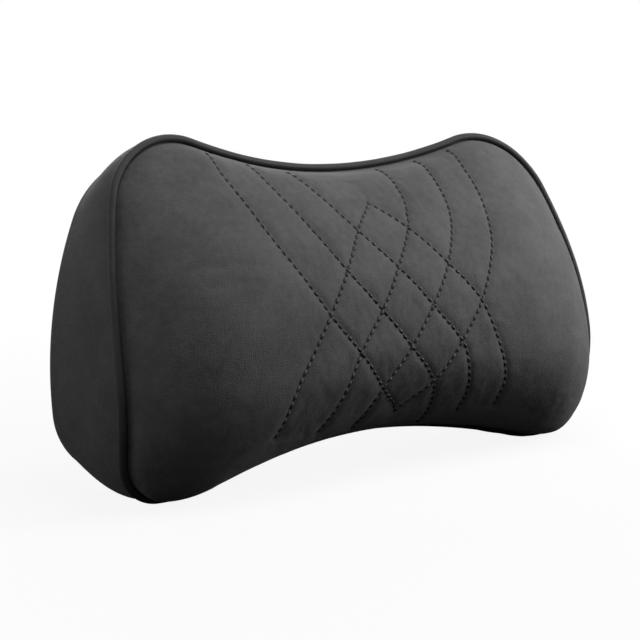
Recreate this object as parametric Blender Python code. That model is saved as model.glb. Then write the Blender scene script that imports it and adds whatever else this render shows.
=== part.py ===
"""Car neck pillow: a quilted front panel, a piping ring, a side band, a back
panel with an elastic headrest strap, and the foam core inside."""

import math

import bmesh
import bpy
import numpy as np
from mathutils import Vector, geometry

# Lengths in this file are millimetres, turned into metres when a mesh is made
MM = 0.001

# Seam outline, seen square to the front: x to the side, z up from the widest level
WAIST_TOP = 84.3
LOBE_TOP = 98.7
LOBE_X = 98.6
LOBE_RADIUS = 43.6
SIDE_RADIUS = 262.0
FOOT_RADIUS = 24.9
FOOT_X = 126.2
FOOT_CROWN_RADIUS = 70.6
FOOT_BOTTOM = 68.0
FOOT_LIFT = 0.1
WAIST_BOTTOM = 50.5
WIDEST_Z = -10.3

# The seam leans back, its waist is set back and the middle of each side comes forward
LEAN = math.radians(9.05)
WAIST_SET_BACK = 12.15
SIDE_FORWARD = 18.2

# Dome of the stuffed front, measured forward of the seam
DOME = 54.2
DOME_SIDE_DROP = 14.3
DOME_SECTION_POWER = 2.42
DOME_SECTION_ROOT = 2.03
DOME_ROOT_SIDE_DROP = 0.35
DOME_END_POWER = 6.2
DOME_SAG = 0.306
DOME_SAG_SIDE = 0.175
EDGE_ROLL = 1.6

# The filled front bulges down over its lower seam
UNDER_BULGE = 4.8
UNDER_REACH = 2.0
UNDER_FADE = 12.0
UNDER_INNER = 0.4

# Quilting: a lattice of crossings, with tails that run out to the edges
LATTICE_STEP = 16.65
LATTICE_ROWS = (62.3, 48.1, 28.3, 8.2, -10.5, -29.8, -42.8)
TAIL_ONE = ((-66.5, 36.0), (-74.5, 57.0), (-79.5, 78.0), (-77.3, 93.5))
TAIL_TWO = ((-45.5, 49.0), (-53.0, 71.0), (-52.8, 88.5))
TAIL_THREE = ((-25.5, 69.0), (-26.1, 83.5))
DROP_TWO = ((22.5, -44.0),)
DROP_THREE = ((40.0, -27.0), (46.0, -45.0))
DROP_FOUR = ((62.0, -13.0), (69.5, -30.0), (73.5, -46.0))
CHANNEL_DEPTH = 2.0
CHANNEL_WIDTH = 2.6

# Materials and gaps
PANEL_THICK = 4.5
LEATHER = 1.6
GAP = 0.4
FOAM_GAP = 0.9
PIPING_RADIUS = 1.9
FLOOR = -69.1
MIDDLE_Y = -1.05

# Side band and back
BACK_Y = 42.7
BACK_TOP_DROP = 9.8
BACK_LOBE_OUT = 1.0
BACK_LOBE_RADIUS = 45.3
BACK_SIDE_RADIUS = 200.6
BACK_FOOT_RISE = 3.95
BACK_FOOT_LIFT = 0.6
BACK_SIDE_OUT = 3.7
BACK_FOOT_RADIUS = 34.6
BACK_FILLET = 7.2
BAND_RUN_TOP = 1.17
BAND_RUN_MIDDLE = 1.91
BAND_RUN_FOOT = 1.6
BAND_BULGE = 2.15
BAND_BULGE_FOOT = 1.1

# Elastic strap across the back
STRAP_WIDTH = 30.0
STRAP_THICK = 1.4
STRAP_HALF_LENGTH = 116.0
STRAP_Z = 4.0

# Samples along each arc of one half of the outline
COUNTS = (12, 12, 13, 8, 3, 12)


def arc_chain(waist_top, lobe_top, lobe_x, lobe_r, side_r, foot_x, foot_z, foot_r,
              crown_r, foot_bottom, waist_bottom):
    """The right half outline as six tangent arcs: centre, radius, start, end, sign."""
    lobe = np.array([lobe_x, lobe_top - lobe_r])
    foot = np.array([foot_x, foot_z])
    rise = foot_z - (crown_r - foot_bottom)
    crown = np.array([foot_x - math.sqrt((crown_r - foot_r) ** 2 - rise ** 2),
                      crown_r - foot_bottom])

    def waist_radius(height, centre_x, centre_top, radius):
        d = height - centre_top + radius
        return (centre_x ** 2 + d ** 2 - radius ** 2) / (2 * (radius - d))

    top_r = waist_radius(waist_top, lobe[0], lobe_top, lobe_r)
    low_r = waist_radius(waist_bottom, crown[0], foot_bottom, crown_r)
    top = np.array([0.0, waist_top + top_r])
    low = np.array([0.0, -waist_bottom - low_r])
    r1 = side_r - lobe_r
    r2 = side_r - foot_r
    span = foot - lobe
    length = np.linalg.norm(span)
    along = span / length
    t = (r1 ** 2 - r2 ** 2 + length ** 2) / (2 * length)
    h = math.sqrt(r1 ** 2 - t ** 2)
    across = np.array([-along[1], along[0]])
    side = min((lobe + along * t + across * h, lobe + along * t - across * h), key=lambda c: c[0])

    def angle(v):
        return math.atan2(v[1], v[0])

    a = angle(lobe - top)
    b = angle(lobe - side)
    c = angle(foot - side)
    d = angle(foot - crown)
    e = angle(low - crown)
    return [(top, top_r, -math.pi / 2, a, -1.0),
            (lobe, lobe_r, a + math.pi, b, 1.0),
            (side, side_r, b, c, 1.0),
            (foot, foot_r, c, d, 1.0),
            (crown, crown_r, d, e, 1.0),
            (low, low_r, e + math.pi, math.pi / 2, -1.0)]


def half_loop(arcs, counts):
    """Points and outward normals of the right half, from top centre to bottom centre."""
    points = []
    normals = []
    for (centre, radius, start, end, sign), count in zip(arcs, counts):
        for k in range(count):
            t = start + (end - start) * k / count
            n = np.array([math.cos(t), math.sin(t)])
            points.append(centre + radius * n)
            normals.append(sign * n)
    centre, radius, start, end, sign = arcs[-1]
    n = np.array([math.cos(end), math.sin(end)])
    points.append(centre + radius * n)
    normals.append(sign * n)
    return np.array(points), np.array(normals)


def full_loop(arcs, counts=COUNTS):
    """The closed outline: right half down, left half back up."""
    points, normals = half_loop(arcs, counts)
    points[0, 0] = points[-1, 0] = 0.0
    flip = np.array([-1.0, 1.0])
    return (np.vstack([points, (points * flip)[::-1][1:-1]]),
            np.vstack([normals, (normals * flip)[::-1][1:-1]]))


SEAM_ARCS = arc_chain(WAIST_TOP, LOBE_TOP, LOBE_X, LOBE_RADIUS, SIDE_RADIUS, FOOT_X,
                      FOOT_RADIUS - FOOT_BOTTOM + FOOT_LIFT,
                      FOOT_RADIUS, FOOT_CROWN_RADIUS, FOOT_BOTTOM, WAIST_BOTTOM)
BACK_ARCS = arc_chain(WAIST_TOP - BACK_TOP_DROP, LOBE_TOP - BACK_TOP_DROP, LOBE_X + BACK_LOBE_OUT,
                      BACK_LOBE_RADIUS, BACK_SIDE_RADIUS,
                      FOOT_X + FOOT_RADIUS + BACK_SIDE_OUT - BACK_FOOT_RADIUS,
                      BACK_FOOT_RADIUS - FOOT_BOTTOM + BACK_FOOT_RISE + BACK_FOOT_LIFT, BACK_FOOT_RADIUS,
                      FOOT_CROWN_RADIUS, FOOT_BOTTOM - BACK_FOOT_RISE, WAIST_BOTTOM - BACK_FOOT_RISE)
SEAM, SEAM_OUT = full_loop(SEAM_ARCS)
BACK, BACK_OUT = full_loop(BACK_ARCS)

FINE, FINE_OUT = half_loop(SEAM_ARCS, (60, 60, 60, 60, 30, 60))
WIDEST = int(FINE[:, 0].argmax())
HALF_WIDTH = FINE[WIDEST, 0]
UPPER_X = np.maximum.accumulate(FINE[:WIDEST + 1, 0])
UPPER_Z = FINE[:WIDEST + 1, 1]
LOWER_X = np.maximum.accumulate(FINE[WIDEST:, 0][::-1])
LOWER_Z = FINE[WIDEST:, 1][::-1]
LOWER_DOWN = np.maximum(-FINE_OUT[WIDEST:, 1], 0.0)[::-1]


def seam_y(x, z):
    """How far back the seam surface lies at a point of its own plane."""
    u = np.clip(np.abs(x) / HALF_WIDTH, 0, 1)
    reach = np.where(z > WIDEST_Z, LOBE_TOP - WIDEST_Z, FOOT_BOTTOM + WIDEST_Z)
    t = np.clip((z - WIDEST_Z) / reach, -1, 1)
    return WAIST_SET_BACK * (1 - u ** 2) ** 2 - SIDE_FORWARD * u ** 4 * (1 - t ** 2)


def dome_height(x, z):
    """Forward swell of the front over the seam surface, without channels."""
    ax = np.abs(x)
    top = np.interp(ax, UPPER_X, UPPER_Z)
    low = np.interp(ax, LOWER_X, LOWER_Z)
    t = np.clip((z - (top + low) / 2) / np.maximum((top - low) / 2, 1e-6), -1, 1)
    u = np.clip(ax / HALF_WIDTH, 0, 1)
    sag = DOME_SAG + DOME_SAG_SIDE * u ** 2
    t = np.clip(t + sag * (1 - t ** 2), -1, 1)
    crest = (DOME - DOME_SIDE_DROP * u ** 2) * (1 - u ** DOME_END_POWER)
    root = DOME_SECTION_ROOT - DOME_ROOT_SIDE_DROP * u ** 2
    return crest * (1 - np.abs(t) ** DOME_SECTION_POWER) ** (1 / root)


def under_bulge(x, z, edge):
    """How far a point of the front moves down, from its distance to the panel's edge."""
    facing = np.interp(np.abs(x), LOWER_X, LOWER_DOWN) * np.clip((WIDEST_Z - z) / UNDER_FADE, 0, 1)
    rise = edge / UNDER_REACH
    return UNDER_BULGE * facing * rise * np.exp(1 - rise)


def distance_to(points, line, closed):
    """Distance from each point to a polyline."""
    ends = np.roll(line, -1, 0) if closed else line[1:]
    starts = line if closed else line[:-1]
    best = np.full(len(points), 1e9)
    for a, b in zip(starts, ends):
        d = b - a
        t = np.clip(((points - a) @ d) / max(d @ d, 1e-12), 0, 1)
        best = np.minimum(best, np.linalg.norm(points - a - t[:, None] * d, axis=1))
    return best


def lean(points):
    """Turn points of the seam's own frame (x, y, z) into the standing pillow's frame."""
    c, s = math.cos(LEAN), math.sin(LEAN)
    out = np.array(points, dtype=float)
    out[:, 1] = points[:, 1] * c + points[:, 2] * s
    out[:, 2] = -points[:, 1] * s + points[:, 2] * c
    return out


def smooth_line(points, step=3.2):
    """An even polyline through control points by a Catmull-Rom curve."""
    p = np.array(points, dtype=float)
    p = np.vstack([2 * p[0] - p[1], p, 2 * p[-1] - p[-2]])
    dense = []
    for k in range(1, len(p) - 2):
        for t in np.linspace(0, 1, 24, endpoint=False):
            a = 2 * p[k]
            b = p[k + 1] - p[k - 1]
            c = 2 * p[k - 1] - 5 * p[k] + 4 * p[k + 1] - p[k + 2]
            d = -p[k - 1] + 3 * p[k] - 3 * p[k + 1] + p[k + 2]
            dense.append(0.5 * (a + b * t + c * t ** 2 + d * t ** 3))
    dense.append(p[-2])
    dense = np.array(dense)
    run = np.concatenate([[0], np.cumsum(np.linalg.norm(np.diff(dense, axis=0), axis=1))])
    count = max(4, int(run[-1] / step))
    at = np.linspace(0, run[-1], count + 1)
    return np.c_[np.interp(at, run, dense[:, 0]), np.interp(at, run, dense[:, 1])]


def stitch_lines():
    """Four lines falling to the right and their four mirror images."""
    rows = LATTICE_ROWS
    lines = []
    for number, tail, drop in ((1, TAIL_ONE, ()), (2, TAIL_TWO, DROP_TWO),
                               (3, TAIL_THREE, DROP_THREE), (4, (), DROP_FOUR)):
        run = [(LATTICE_STEP * (number - 4 + k), rows[4 - number + k]) for k in range(4)]
        lines.append(smooth_line(list(tail)[::-1] + run + list(drop)))
    mirrored = [line * np.array([-1.0, 1.0]) for line in lines]
    return lines + mirrored


def triangulate(boundary, lines, extra):
    """Constrained triangles inside a boundary loop."""
    verts = [Vector(p) for p in boundary]
    edges = [(k, (k + 1) % len(boundary)) for k in range(len(boundary))]
    for line in lines:
        start = len(verts)
        verts += [Vector(p) for p in line]
        edges += [(start + k, start + k + 1) for k in range(len(line) - 1)]
    verts += [Vector(p) for p in extra]
    result = geometry.delaunay_2d_cdt(verts, edges, [list(range(len(boundary)))], 1, 1e-4)
    return np.array([tuple(v) for v in result[0]]), [tuple(f) for f in result[2]]


def scattered(boundary, lines, loops, step, clear):
    """A staggered grid inside the boundary, kept clear of lines and loops."""
    points = []
    row = 0
    z = -FOOT_BOTTOM
    while z < LOBE_TOP:
        shift = 0.0 if row % 2 == 0 else step / 2
        x = -HALF_WIDTH - step + shift
        while x < HALF_WIDTH + step:
            points.append((x, z))
            x += step
        z += step * 0.866
        row += 1
    points = np.array(points)
    keep = inside(points, boundary) & (distance_to(points, boundary, True) > clear)
    for loop in loops:
        keep &= distance_to(points, loop, True) > clear
    for line in lines:
        keep &= distance_to(points, line, False) > clear
    return points[keep]


def inside(points, loop):
    """Which points lie inside a closed loop."""
    result = np.zeros(len(points), dtype=bool)
    ends = np.roll(loop, -1, 0)
    for (ax, az), (bx, bz) in zip(loop, ends):
        cross = (az > points[:, 1]) != (bz > points[:, 1])
        at = ax + (points[:, 1] - az) * (bx - ax) / (bz - az if bz != az else 1e-12)
        result ^= cross & (points[:, 0] < at)
    return result


def make_object(name, verts, faces, colour, roughness):
    """One closed mesh in metres, facing outward, with its own material."""
    points = np.array(verts, dtype=float)
    points[:, 1] -= MIDDLE_Y
    points[:, 2] -= FLOOR
    mesh = bpy.data.meshes.new(name)
    mesh.from_pydata([tuple(p) for p in points * MM], [], [tuple(int(i) for i in f) for f in faces])
    bm = bmesh.new()
    bm.from_mesh(mesh)
    bmesh.ops.recalc_face_normals(bm, faces=bm.faces)
    if bm.calc_volume(signed=True) < 0:
        bmesh.ops.reverse_faces(bm, faces=bm.faces)
    bmesh.ops.triangulate(bm, faces=[f for f in bm.faces if len(f.verts) > 4])
    bm.to_mesh(mesh)
    bm.free()
    material = bpy.data.materials.new(name + "_material")
    material.use_nodes = True
    shader = material.node_tree.nodes["Principled BSDF"]
    shader.inputs["Base Color"].default_value = (*colour, 1.0)
    shader.inputs["Roughness"].default_value = roughness
    mesh.materials.append(material)
    obj = bpy.data.objects.new(name, mesh)
    COLLECTION.objects.link(obj)
    return obj


def ring_faces(start_a, start_b, count):
    """Quads between two loops of the same length."""
    return [(start_a + k, start_a + (k + 1) % count, start_b + (k + 1) % count, start_b + k)
            for k in range(count)]


def inset_loop(distance):
    """The seam outline moved inward in its own plane."""
    return SEAM - SEAM_OUT * distance


def with_halves(loop, longest=5.0):
    """A loop's points, with one more halfway along each of its long edges."""
    step = np.roll(loop, -1, 0) - loop
    return np.vstack([loop, (loop + step / 2)[np.linalg.norm(step, axis=1) > longest]])


def front_surface(xz, boundary, sink, channels):
    """Points of a domed face over its own boundary, sunk below the outer face."""
    x, z = xz[:, 0], xz[:, 1]
    edge = distance_to(xz, boundary, True)
    swell = np.maximum(dome_height(x, z) - sink, 0.0) * (1 - np.exp(-edge / EDGE_ROLL))
    bulge = under_bulge(x, z, edge) * (1.0 if channels else UNDER_INNER)
    if channels:
        near = np.full(len(xz), 1e9)
        for line in channels:
            near = np.minimum(near, distance_to(xz, line, False))
        swell -= CHANNEL_DEPTH * np.exp(-(near / CHANNEL_WIDTH) ** 2) * (1 - np.exp(-edge / 6.0))
    return lean(np.c_[x, seam_y(x, z) - swell, z - bulge])


def panel_inner_face():
    """The smooth hidden face of the front panel."""
    inset = PIPING_RADIUS + GAP + PANEL_THICK
    edge = inset_loop(inset)
    grid = scattered(edge, [], [], 13.0, 6.5)
    rings = [inset_loop(inset + d)[::2] for d in (1.6, 5.0)]
    xz, faces = triangulate(edge, [], np.vstack(rings + [grid]))
    return front_surface(xz, edge, PANEL_THICK + CHANNEL_DEPTH, None), faces


def sunk(verts, faces, distance):
    """A face moved back along its own vertex normals."""
    normals = np.zeros_like(verts)
    for face in faces:
        a, b, c = (verts[i] for i in face[:3])
        n = np.cross(b - a, c - a)
        for i in face:
            normals[i] += n / np.linalg.norm(n)
    normals /= np.linalg.norm(normals, axis=1)[:, None]
    if normals[:, 1].mean() > 0:
        normals = -normals
    return verts - normals * distance


def build_front_panel():
    """The quilted leather panel, bonded to its thin padding as one sewn sheet."""
    count = len(SEAM)
    outer_edge = inset_loop(PIPING_RADIUS + GAP)
    lines = stitch_lines()
    inner_limit = inset_loop(PIPING_RADIUS + GAP + 1.6)
    lines = [line[inside(line, inner_limit)] for line in lines]
    flanks = []
    for line in lines:
        tangent = np.gradient(line, axis=0)
        tangent /= np.linalg.norm(tangent, axis=1)[:, None]
        side = np.c_[-tangent[:, 1], tangent[:, 0]]
        flanks += [line + side * 2.7, line - side * 2.7]
    loops = [inset_loop(PIPING_RADIUS + GAP + d) for d in (1.1, 3.0, 6.2)]
    limit = inset_loop(PIPING_RADIUS + GAP + 7.5)
    flank_points = []
    for flank in flanks:
        keep = inside(flank, limit)
        for line in lines:
            keep &= distance_to(flank, line, False) > 1.9
        flank_points.append(flank[keep])
    flank_points = np.vstack(flank_points)
    grid = scattered(outer_edge, lines, loops, 6.8, 3.0)
    grid = grid[np.array([np.min(np.linalg.norm(flank_points - g, axis=1)) > 2.6 for g in grid])]
    ring_points = np.vstack([with_halves(loop) for loop in loops[:2]] + [loops[2]])
    near = np.full(len(ring_points), 1e9)
    for line in lines:
        near = np.minimum(near, distance_to(ring_points, line, False))
    ring_points = ring_points[near > 0.8]
    xz, faces = triangulate(outer_edge, lines, np.vstack([ring_points, flank_points, grid]))
    verts = front_surface(xz, outer_edge, 0.0, lines)
    inner_verts, inner_faces = panel_inner_face()
    offset = len(verts)
    faces = list(faces) + [tuple(offset + i for i in f[::-1]) for f in inner_faces]
    faces += ring_faces(0, offset, count)
    return make_object("front_panel", np.vstack([verts, inner_verts]), faces, (0.03, 0.03, 0.032), 0.6)


def seam_points(distance, back):
    """The seam loop moved inward and back, in the standing frame."""
    loop = inset_loop(distance)
    return lean(np.c_[loop[:, 0], seam_y(loop[:, 0], loop[:, 1]) + back, loop[:, 1]])


def build_piping():
    """The covered piping cord, one closed ring in the seam."""
    sides = 10
    centre = seam_points(0.0, 0.0)
    normal = lean(np.c_[SEAM_OUT[:, 0], np.zeros(len(SEAM)), SEAM_OUT[:, 1]])
    forward = lean(np.tile([0.0, -1.0, 0.0], (len(SEAM), 1)))
    verts = []
    for p, n, f in zip(centre, normal, forward):
        for k in range(sides):
            a = 2 * math.pi * k / sides
            verts.append(p + PIPING_RADIUS * (math.cos(a) * n + math.sin(a) * f))
    verts = np.array(verts)
    verts[:, 2] = np.maximum(verts[:, 2], FLOOR)
    count = len(SEAM)
    faces = []
    for i in range(count):
        j = (i + 1) % count
        faces += [(i * sides + k, i * sides + (k + 1) % sides, j * sides + (k + 1) % sides,
                   j * sides + k) for k in range(sides)]
    return make_object("front_piping", verts, faces, (0.022, 0.022, 0.024), 0.55)


def band_loops(depth, steps=(0.0, 0.2, 0.45, 0.75, 1.0), turns=(30, 60, 90)):
    """Loops of the side band from the piping to the back, at a depth under its face."""
    front = seam_points(0.0, PIPING_RADIUS + GAP)
    loops = []
    fillet = BACK_FILLET
    flat = BACK - BACK_OUT * depth
    out = lean(np.c_[SEAM_OUT[:, 0], np.zeros(len(SEAM)), SEAM_OUT[:, 1]])
    run = np.interp(flat[:, 1], (-FOOT_BOTTOM, 0.0, LOBE_TOP),
                    (BAND_RUN_FOOT, BAND_RUN_MIDDLE, BAND_RUN_TOP))
    fullness = BAND_BULGE + BAND_BULGE_FOOT * np.maximum(-SEAM_OUT[:, 1], 0.0) ** 2
    for w in steps:
        g = w ** run
        swell = fullness * math.sin(math.pi * w ** 0.8)
        loop = np.empty((len(SEAM), 3))
        loop[:, 0] = (front[:, 0] - out[:, 0] * (depth - swell)) * (1 - g) + (flat[:, 0] + out[:, 0] * swell) * g
        loop[:, 2] = (front[:, 2] - out[:, 2] * (depth - swell)) * (1 - g) + (flat[:, 1] + out[:, 2] * swell) * g
        loop[:, 1] = front[:, 1] * (1 - w) + (BACK_Y - fillet) * w
        loops.append(loop)
    for degrees in turns:
        a = math.radians(degrees)
        radius = fillet - depth
        edge = flat - BACK_OUT * radius * (1 - math.cos(a))
        loops.append(np.c_[edge[:, 0], np.full(len(edge), BACK_Y - fillet + radius * math.sin(a)), edge[:, 1]])
    for loop in loops:
        loop[:, 2] = np.maximum(loop[:, 2], FLOOR + depth)
    return loops


def build_side_band():
    """The plain leather band, turned over the back edge to meet the back panel."""
    outer = band_loops(0.0)
    inner = band_loops(LEATHER, steps=(0.0, 0.35, 0.7, 1.0), turns=(45, 90))
    loops = outer + inner[::-1]
    count = len(SEAM)
    verts = np.vstack(loops)
    faces = []
    for k in range(len(loops)):
        faces += ring_faces(k * count, ((k + 1) % len(loops)) * count, count)
    return make_object("side_band", verts, faces, (0.03, 0.03, 0.032), 0.6)


def plate(loop_xz, y_front, y_back):
    """A flat plate with an outline, between two depths."""
    xz, cap = triangulate(loop_xz, [], np.empty((0, 2)))
    count = len(loop_xz)
    front = np.c_[xz[:, 0], np.full(len(xz), y_front), xz[:, 1]]
    back = np.c_[xz[:, 0], np.full(len(xz), y_back), xz[:, 1]]
    offset = len(xz)
    faces = [f[::-1] for f in cap] + [tuple(offset + i for i in f) for f in cap]
    faces += ring_faces(0, offset, count)
    return np.vstack([front, back]), faces


def build_back_panel():
    """The flat back, sewn into the band's turned edge."""
    loop = BACK - BACK_OUT * (BACK_FILLET + GAP)
    verts, faces = plate(loop, BACK_Y - LEATHER, BACK_Y)
    return make_object("back_panel", verts, faces, (0.03, 0.03, 0.032), 0.65)


def build_strap():
    """The elastic strap, sewn down at both ends and lying flat between them."""
    xs = np.linspace(-STRAP_HALF_LENGTH, STRAP_HALF_LENGTH, 25)
    verts = []
    for x in xs:
        y = BACK_Y + 0.3
        for dy, dz in ((0, -1), (STRAP_THICK, -1), (STRAP_THICK, 1), (0, 1)):
            verts.append((x, y + dy, STRAP_Z + dz * STRAP_WIDTH / 2))
    faces = [(3, 2, 1, 0)]
    for i in range(len(xs) - 1):
        faces += [(i * 4 + k, i * 4 + (k + 1) % 4, i * 4 + 4 + (k + 1) % 4, i * 4 + 4 + k) for k in range(4)]
    last = (len(xs) - 1) * 4
    faces.append((last, last + 1, last + 2, last + 3))
    return make_object("headrest_strap", np.array(verts), faces, (0.018, 0.018, 0.019), 0.8)


def build_foam_core():
    """The moulded foam body that fills the cover."""
    count = len(SEAM)
    verts, faces = panel_inner_face()
    verts = sunk(verts, faces, FOAM_GAP)
    depth = LEATHER + FOAM_GAP
    front_edge_depth = PIPING_RADIUS + GAP + PANEL_THICK + FOAM_GAP
    shoulder = [seam_points(front_edge_depth, 1.2), seam_points(PIPING_RADIUS + GAP + 1.2, 1.6)]
    loops = shoulder + band_loops(depth, steps=(0.35, 0.7, 1.0), turns=(45, 90))
    offset = len(verts)
    all_verts = [verts] + loops
    faces = list(faces) + ring_faces(0, offset, count)
    for k in range(len(loops) - 1):
        faces += ring_faces(offset + k * count, offset + (k + 1) * count, count)
    start = offset + (len(loops) - 1) * count
    last = loops[-1]
    cap_xz, cap = triangulate(last[:, [0, 2]], [], np.empty((0, 2)))
    faces += [tuple(start + i for i in f[::-1]) for f in cap]
    return make_object("foam_core", np.vstack(all_verts), faces, (0.75, 0.70, 0.55), 0.9)


for leftover in list(bpy.data.objects):
    bpy.data.objects.remove(leftover, do_unlink=True)
COLLECTION = bpy.data.collections.new("car_neck_pillow")
bpy.context.scene.collection.children.link(COLLECTION)

build_front_panel()
build_piping()
build_side_band()
build_back_panel()
build_strap()
build_foam_core()
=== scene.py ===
"""Looks of the car neck pillow: quilted leather front, piping, side band, sewn back and elastic strap."""

import math

import bmesh
import bpy
import numpy as np
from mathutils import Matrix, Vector
from mathutils.bvhtree import BVHTree


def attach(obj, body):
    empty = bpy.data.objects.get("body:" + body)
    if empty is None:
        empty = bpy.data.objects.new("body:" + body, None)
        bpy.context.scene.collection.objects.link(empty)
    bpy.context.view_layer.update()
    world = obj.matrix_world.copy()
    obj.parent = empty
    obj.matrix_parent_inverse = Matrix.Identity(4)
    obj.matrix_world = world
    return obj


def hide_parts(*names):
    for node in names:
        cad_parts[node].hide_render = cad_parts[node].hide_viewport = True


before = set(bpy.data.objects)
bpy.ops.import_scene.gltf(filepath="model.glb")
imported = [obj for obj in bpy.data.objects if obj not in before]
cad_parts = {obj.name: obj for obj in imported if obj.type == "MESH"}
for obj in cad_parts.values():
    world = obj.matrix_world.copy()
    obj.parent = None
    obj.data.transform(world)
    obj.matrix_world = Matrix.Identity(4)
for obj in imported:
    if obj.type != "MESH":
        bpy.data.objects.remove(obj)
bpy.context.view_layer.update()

# Shape values are millimetres in the seam's own frame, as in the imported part
MM = 0.001
WAIST_TOP = 84.3
LOBE_TOP = 98.7
LOBE_X = 98.6
LOBE_RADIUS = 43.6
SIDE_RADIUS = 262.0
FOOT_RADIUS = 24.9
FOOT_X = 126.2
FOOT_CROWN_RADIUS = 70.6
FOOT_BOTTOM = 68.0
FOOT_LIFT = 0.1
WAIST_BOTTOM = 50.5
WIDEST_Z = -10.3
LEAN = math.radians(9.05)
WAIST_SET_BACK = 12.15
SIDE_FORWARD = 18.2
DOME = 54.2
DOME_SIDE_DROP = 14.3
DOME_SECTION_POWER = 2.42
DOME_SECTION_ROOT = 2.03
DOME_ROOT_SIDE_DROP = 0.35
DOME_END_POWER = 6.2
DOME_SAG = 0.306
DOME_SAG_SIDE = 0.175
EDGE_ROLL = 1.6
UNDER_BULGE = 4.8
UNDER_REACH = 2.0
UNDER_FADE = 12.0
PIPING_RADIUS = 1.9
GAP = 0.4
FLOOR = -69.1
MIDDLE_Y = -1.05
BACK_Y = 42.7
BACK_TOP_DROP = 9.8
BACK_LOBE_OUT = 1.0
BACK_LOBE_RADIUS = 45.3
BACK_SIDE_RADIUS = 200.6
BACK_FOOT_RISE = 3.95
BACK_FOOT_LIFT = 0.6
BACK_SIDE_OUT = 3.7
BACK_FOOT_RADIUS = 34.6
BACK_FILLET = 7.2
BAND_RUN_TOP = 1.17
BAND_RUN_MIDDLE = 1.91
BAND_RUN_FOOT = 1.6
BAND_BULGE = 2.15
BAND_BULGE_FOOT = 1.1
STRAP_WIDTH = 30.0
STRAP_HALF_LENGTH = 116.0
STRAP_Z = 4.0
STRAP_THICK = 1.4

# Quilting: a lattice of crossings, each line run on through listed points to the seam at both ends
LATTICE_STEP = 16.61
LATTICE_ROWS = (62.4, 48.3, 28.8, 8.4, -10.9, -29.6, -41.0)
FALLING_TAILS = (((-83.4, 90.6), (-83.8, 78.4), (-77.3, 59.7), (-67.1, 37.4)),
                 ((-59.7, 85.0), (-56.6, 71.8), (-45.9, 51.0)),
                 ((-35.9, 80.5), (-28.5, 67.3)),
                 ())
FALLING_DROPS = ((),
                 ((23.3, -42.2), (24.5, -46.0)),
                 ((37.8, -22.4), (42.3, -37.5), (43.5, -44.5)),
                 ((59.9, -18.0), (65.0, -33.0), (65.6, -45.2)))
RISING_TAILS = (((-78.5, 93.0), (-75.7, 81.7), (-74.6, 64.8), (-70.0, 44.7), (-64.0, 31.5)),
                ((-54.9, 87.8), (-52.7, 77.0), (-49.8, 60.4), (-44.7, 47.0)),
                ((-27.8, 84.0), (-26.7, 75.9), (-23.7, 62.6), (-19.6, 54.3)),
                ())
RISING_DROPS = ((),
                ((22.9, -44.6),),
                ((41.5, -27.5), (49.3, -44.8)),
                ((63.6, -9.3), (74.0, -24.6), (81.0, -44.8)))

# Leather pressed out by its filling, settled by cloth simulation, then eased and capped
FOAM_HOLD = 0.02
LEATHER_BEND = 0.05
LEATHER_SLACK = 0.012
FILLING_PRESSURE = 4.0
SETTLE_FRAMES = 20
STUFFING_SHARE = 0.33
STUFFING_HIGH = 0.7
STUFFING_LOW = 0.3

# Sewing
STITCH_PITCH = 4.0
STITCH_LENGTH = 3.0
# The thread is drawn wider than real thread, so its dark colour also paints the shade of the stitch holes
THREAD_RADIUS = 0.8
THREAD_RISE = 0.1
CHANNEL_DEPTH = 0.4
CHANNEL_WIDTH = 1.3
PUFF_DEPTH = 0.25
PUFF_WIDTH = 3.5
SEAM_GATHER = 2.5
SEAM_REACH = 14.0
PANEL_THICK = 2.4


# Outline arcs
def arc_chain(waist_top, lobe_top, lobe_x, lobe_r, side_r, foot_x, foot_z, foot_r,
              crown_r, foot_bottom, waist_bottom):
    """The right half outline as six tangent arcs: centre, radius, start, end, sign."""
    lobe = np.array([lobe_x, lobe_top - lobe_r])
    foot = np.array([foot_x, foot_z])
    rise = foot_z - (crown_r - foot_bottom)
    crown = np.array([foot_x - math.sqrt((crown_r - foot_r) ** 2 - rise ** 2),
                      crown_r - foot_bottom])

    def waist_radius(height, centre_x, centre_top, radius):
        d = height - centre_top + radius
        return (centre_x ** 2 + d ** 2 - radius ** 2) / (2 * (radius - d))

    top_r = waist_radius(waist_top, lobe[0], lobe_top, lobe_r)
    low_r = waist_radius(waist_bottom, crown[0], foot_bottom, crown_r)
    top = np.array([0.0, waist_top + top_r])
    low = np.array([0.0, -waist_bottom - low_r])
    r1 = side_r - lobe_r
    r2 = side_r - foot_r
    span = foot - lobe
    length = np.linalg.norm(span)
    along = span / length
    t = (r1 ** 2 - r2 ** 2 + length ** 2) / (2 * length)
    h = math.sqrt(r1 ** 2 - t ** 2)
    across = np.array([-along[1], along[0]])
    side = min((lobe + along * t + across * h, lobe + along * t - across * h), key=lambda c: c[0])

    def angle(v):
        return math.atan2(v[1], v[0])

    a = angle(lobe - top)
    b = angle(lobe - side)
    c = angle(foot - side)
    d = angle(foot - crown)
    e = angle(low - crown)
    return [(top, top_r, -math.pi / 2, a, -1.0),
            (lobe, lobe_r, a + math.pi, b, 1.0),
            (side, side_r, b, c, 1.0),
            (foot, foot_r, c, d, 1.0),
            (crown, crown_r, d, e, 1.0),
            (low, low_r, e + math.pi, math.pi / 2, -1.0)]


def half_loop(arcs, counts):
    """Points and outward normals of the right half, from top centre to bottom centre."""
    points = []
    normals = []
    for (centre, radius, start, end, sign), count in zip(arcs, counts):
        for k in range(count):
            t = start + (end - start) * k / count
            n = np.array([math.cos(t), math.sin(t)])
            points.append(centre + radius * n)
            normals.append(sign * n)
    centre, radius, start, end, sign = arcs[-1]
    n = np.array([math.cos(end), math.sin(end)])
    points.append(centre + radius * n)
    normals.append(sign * n)
    return np.array(points), np.array(normals)


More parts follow.
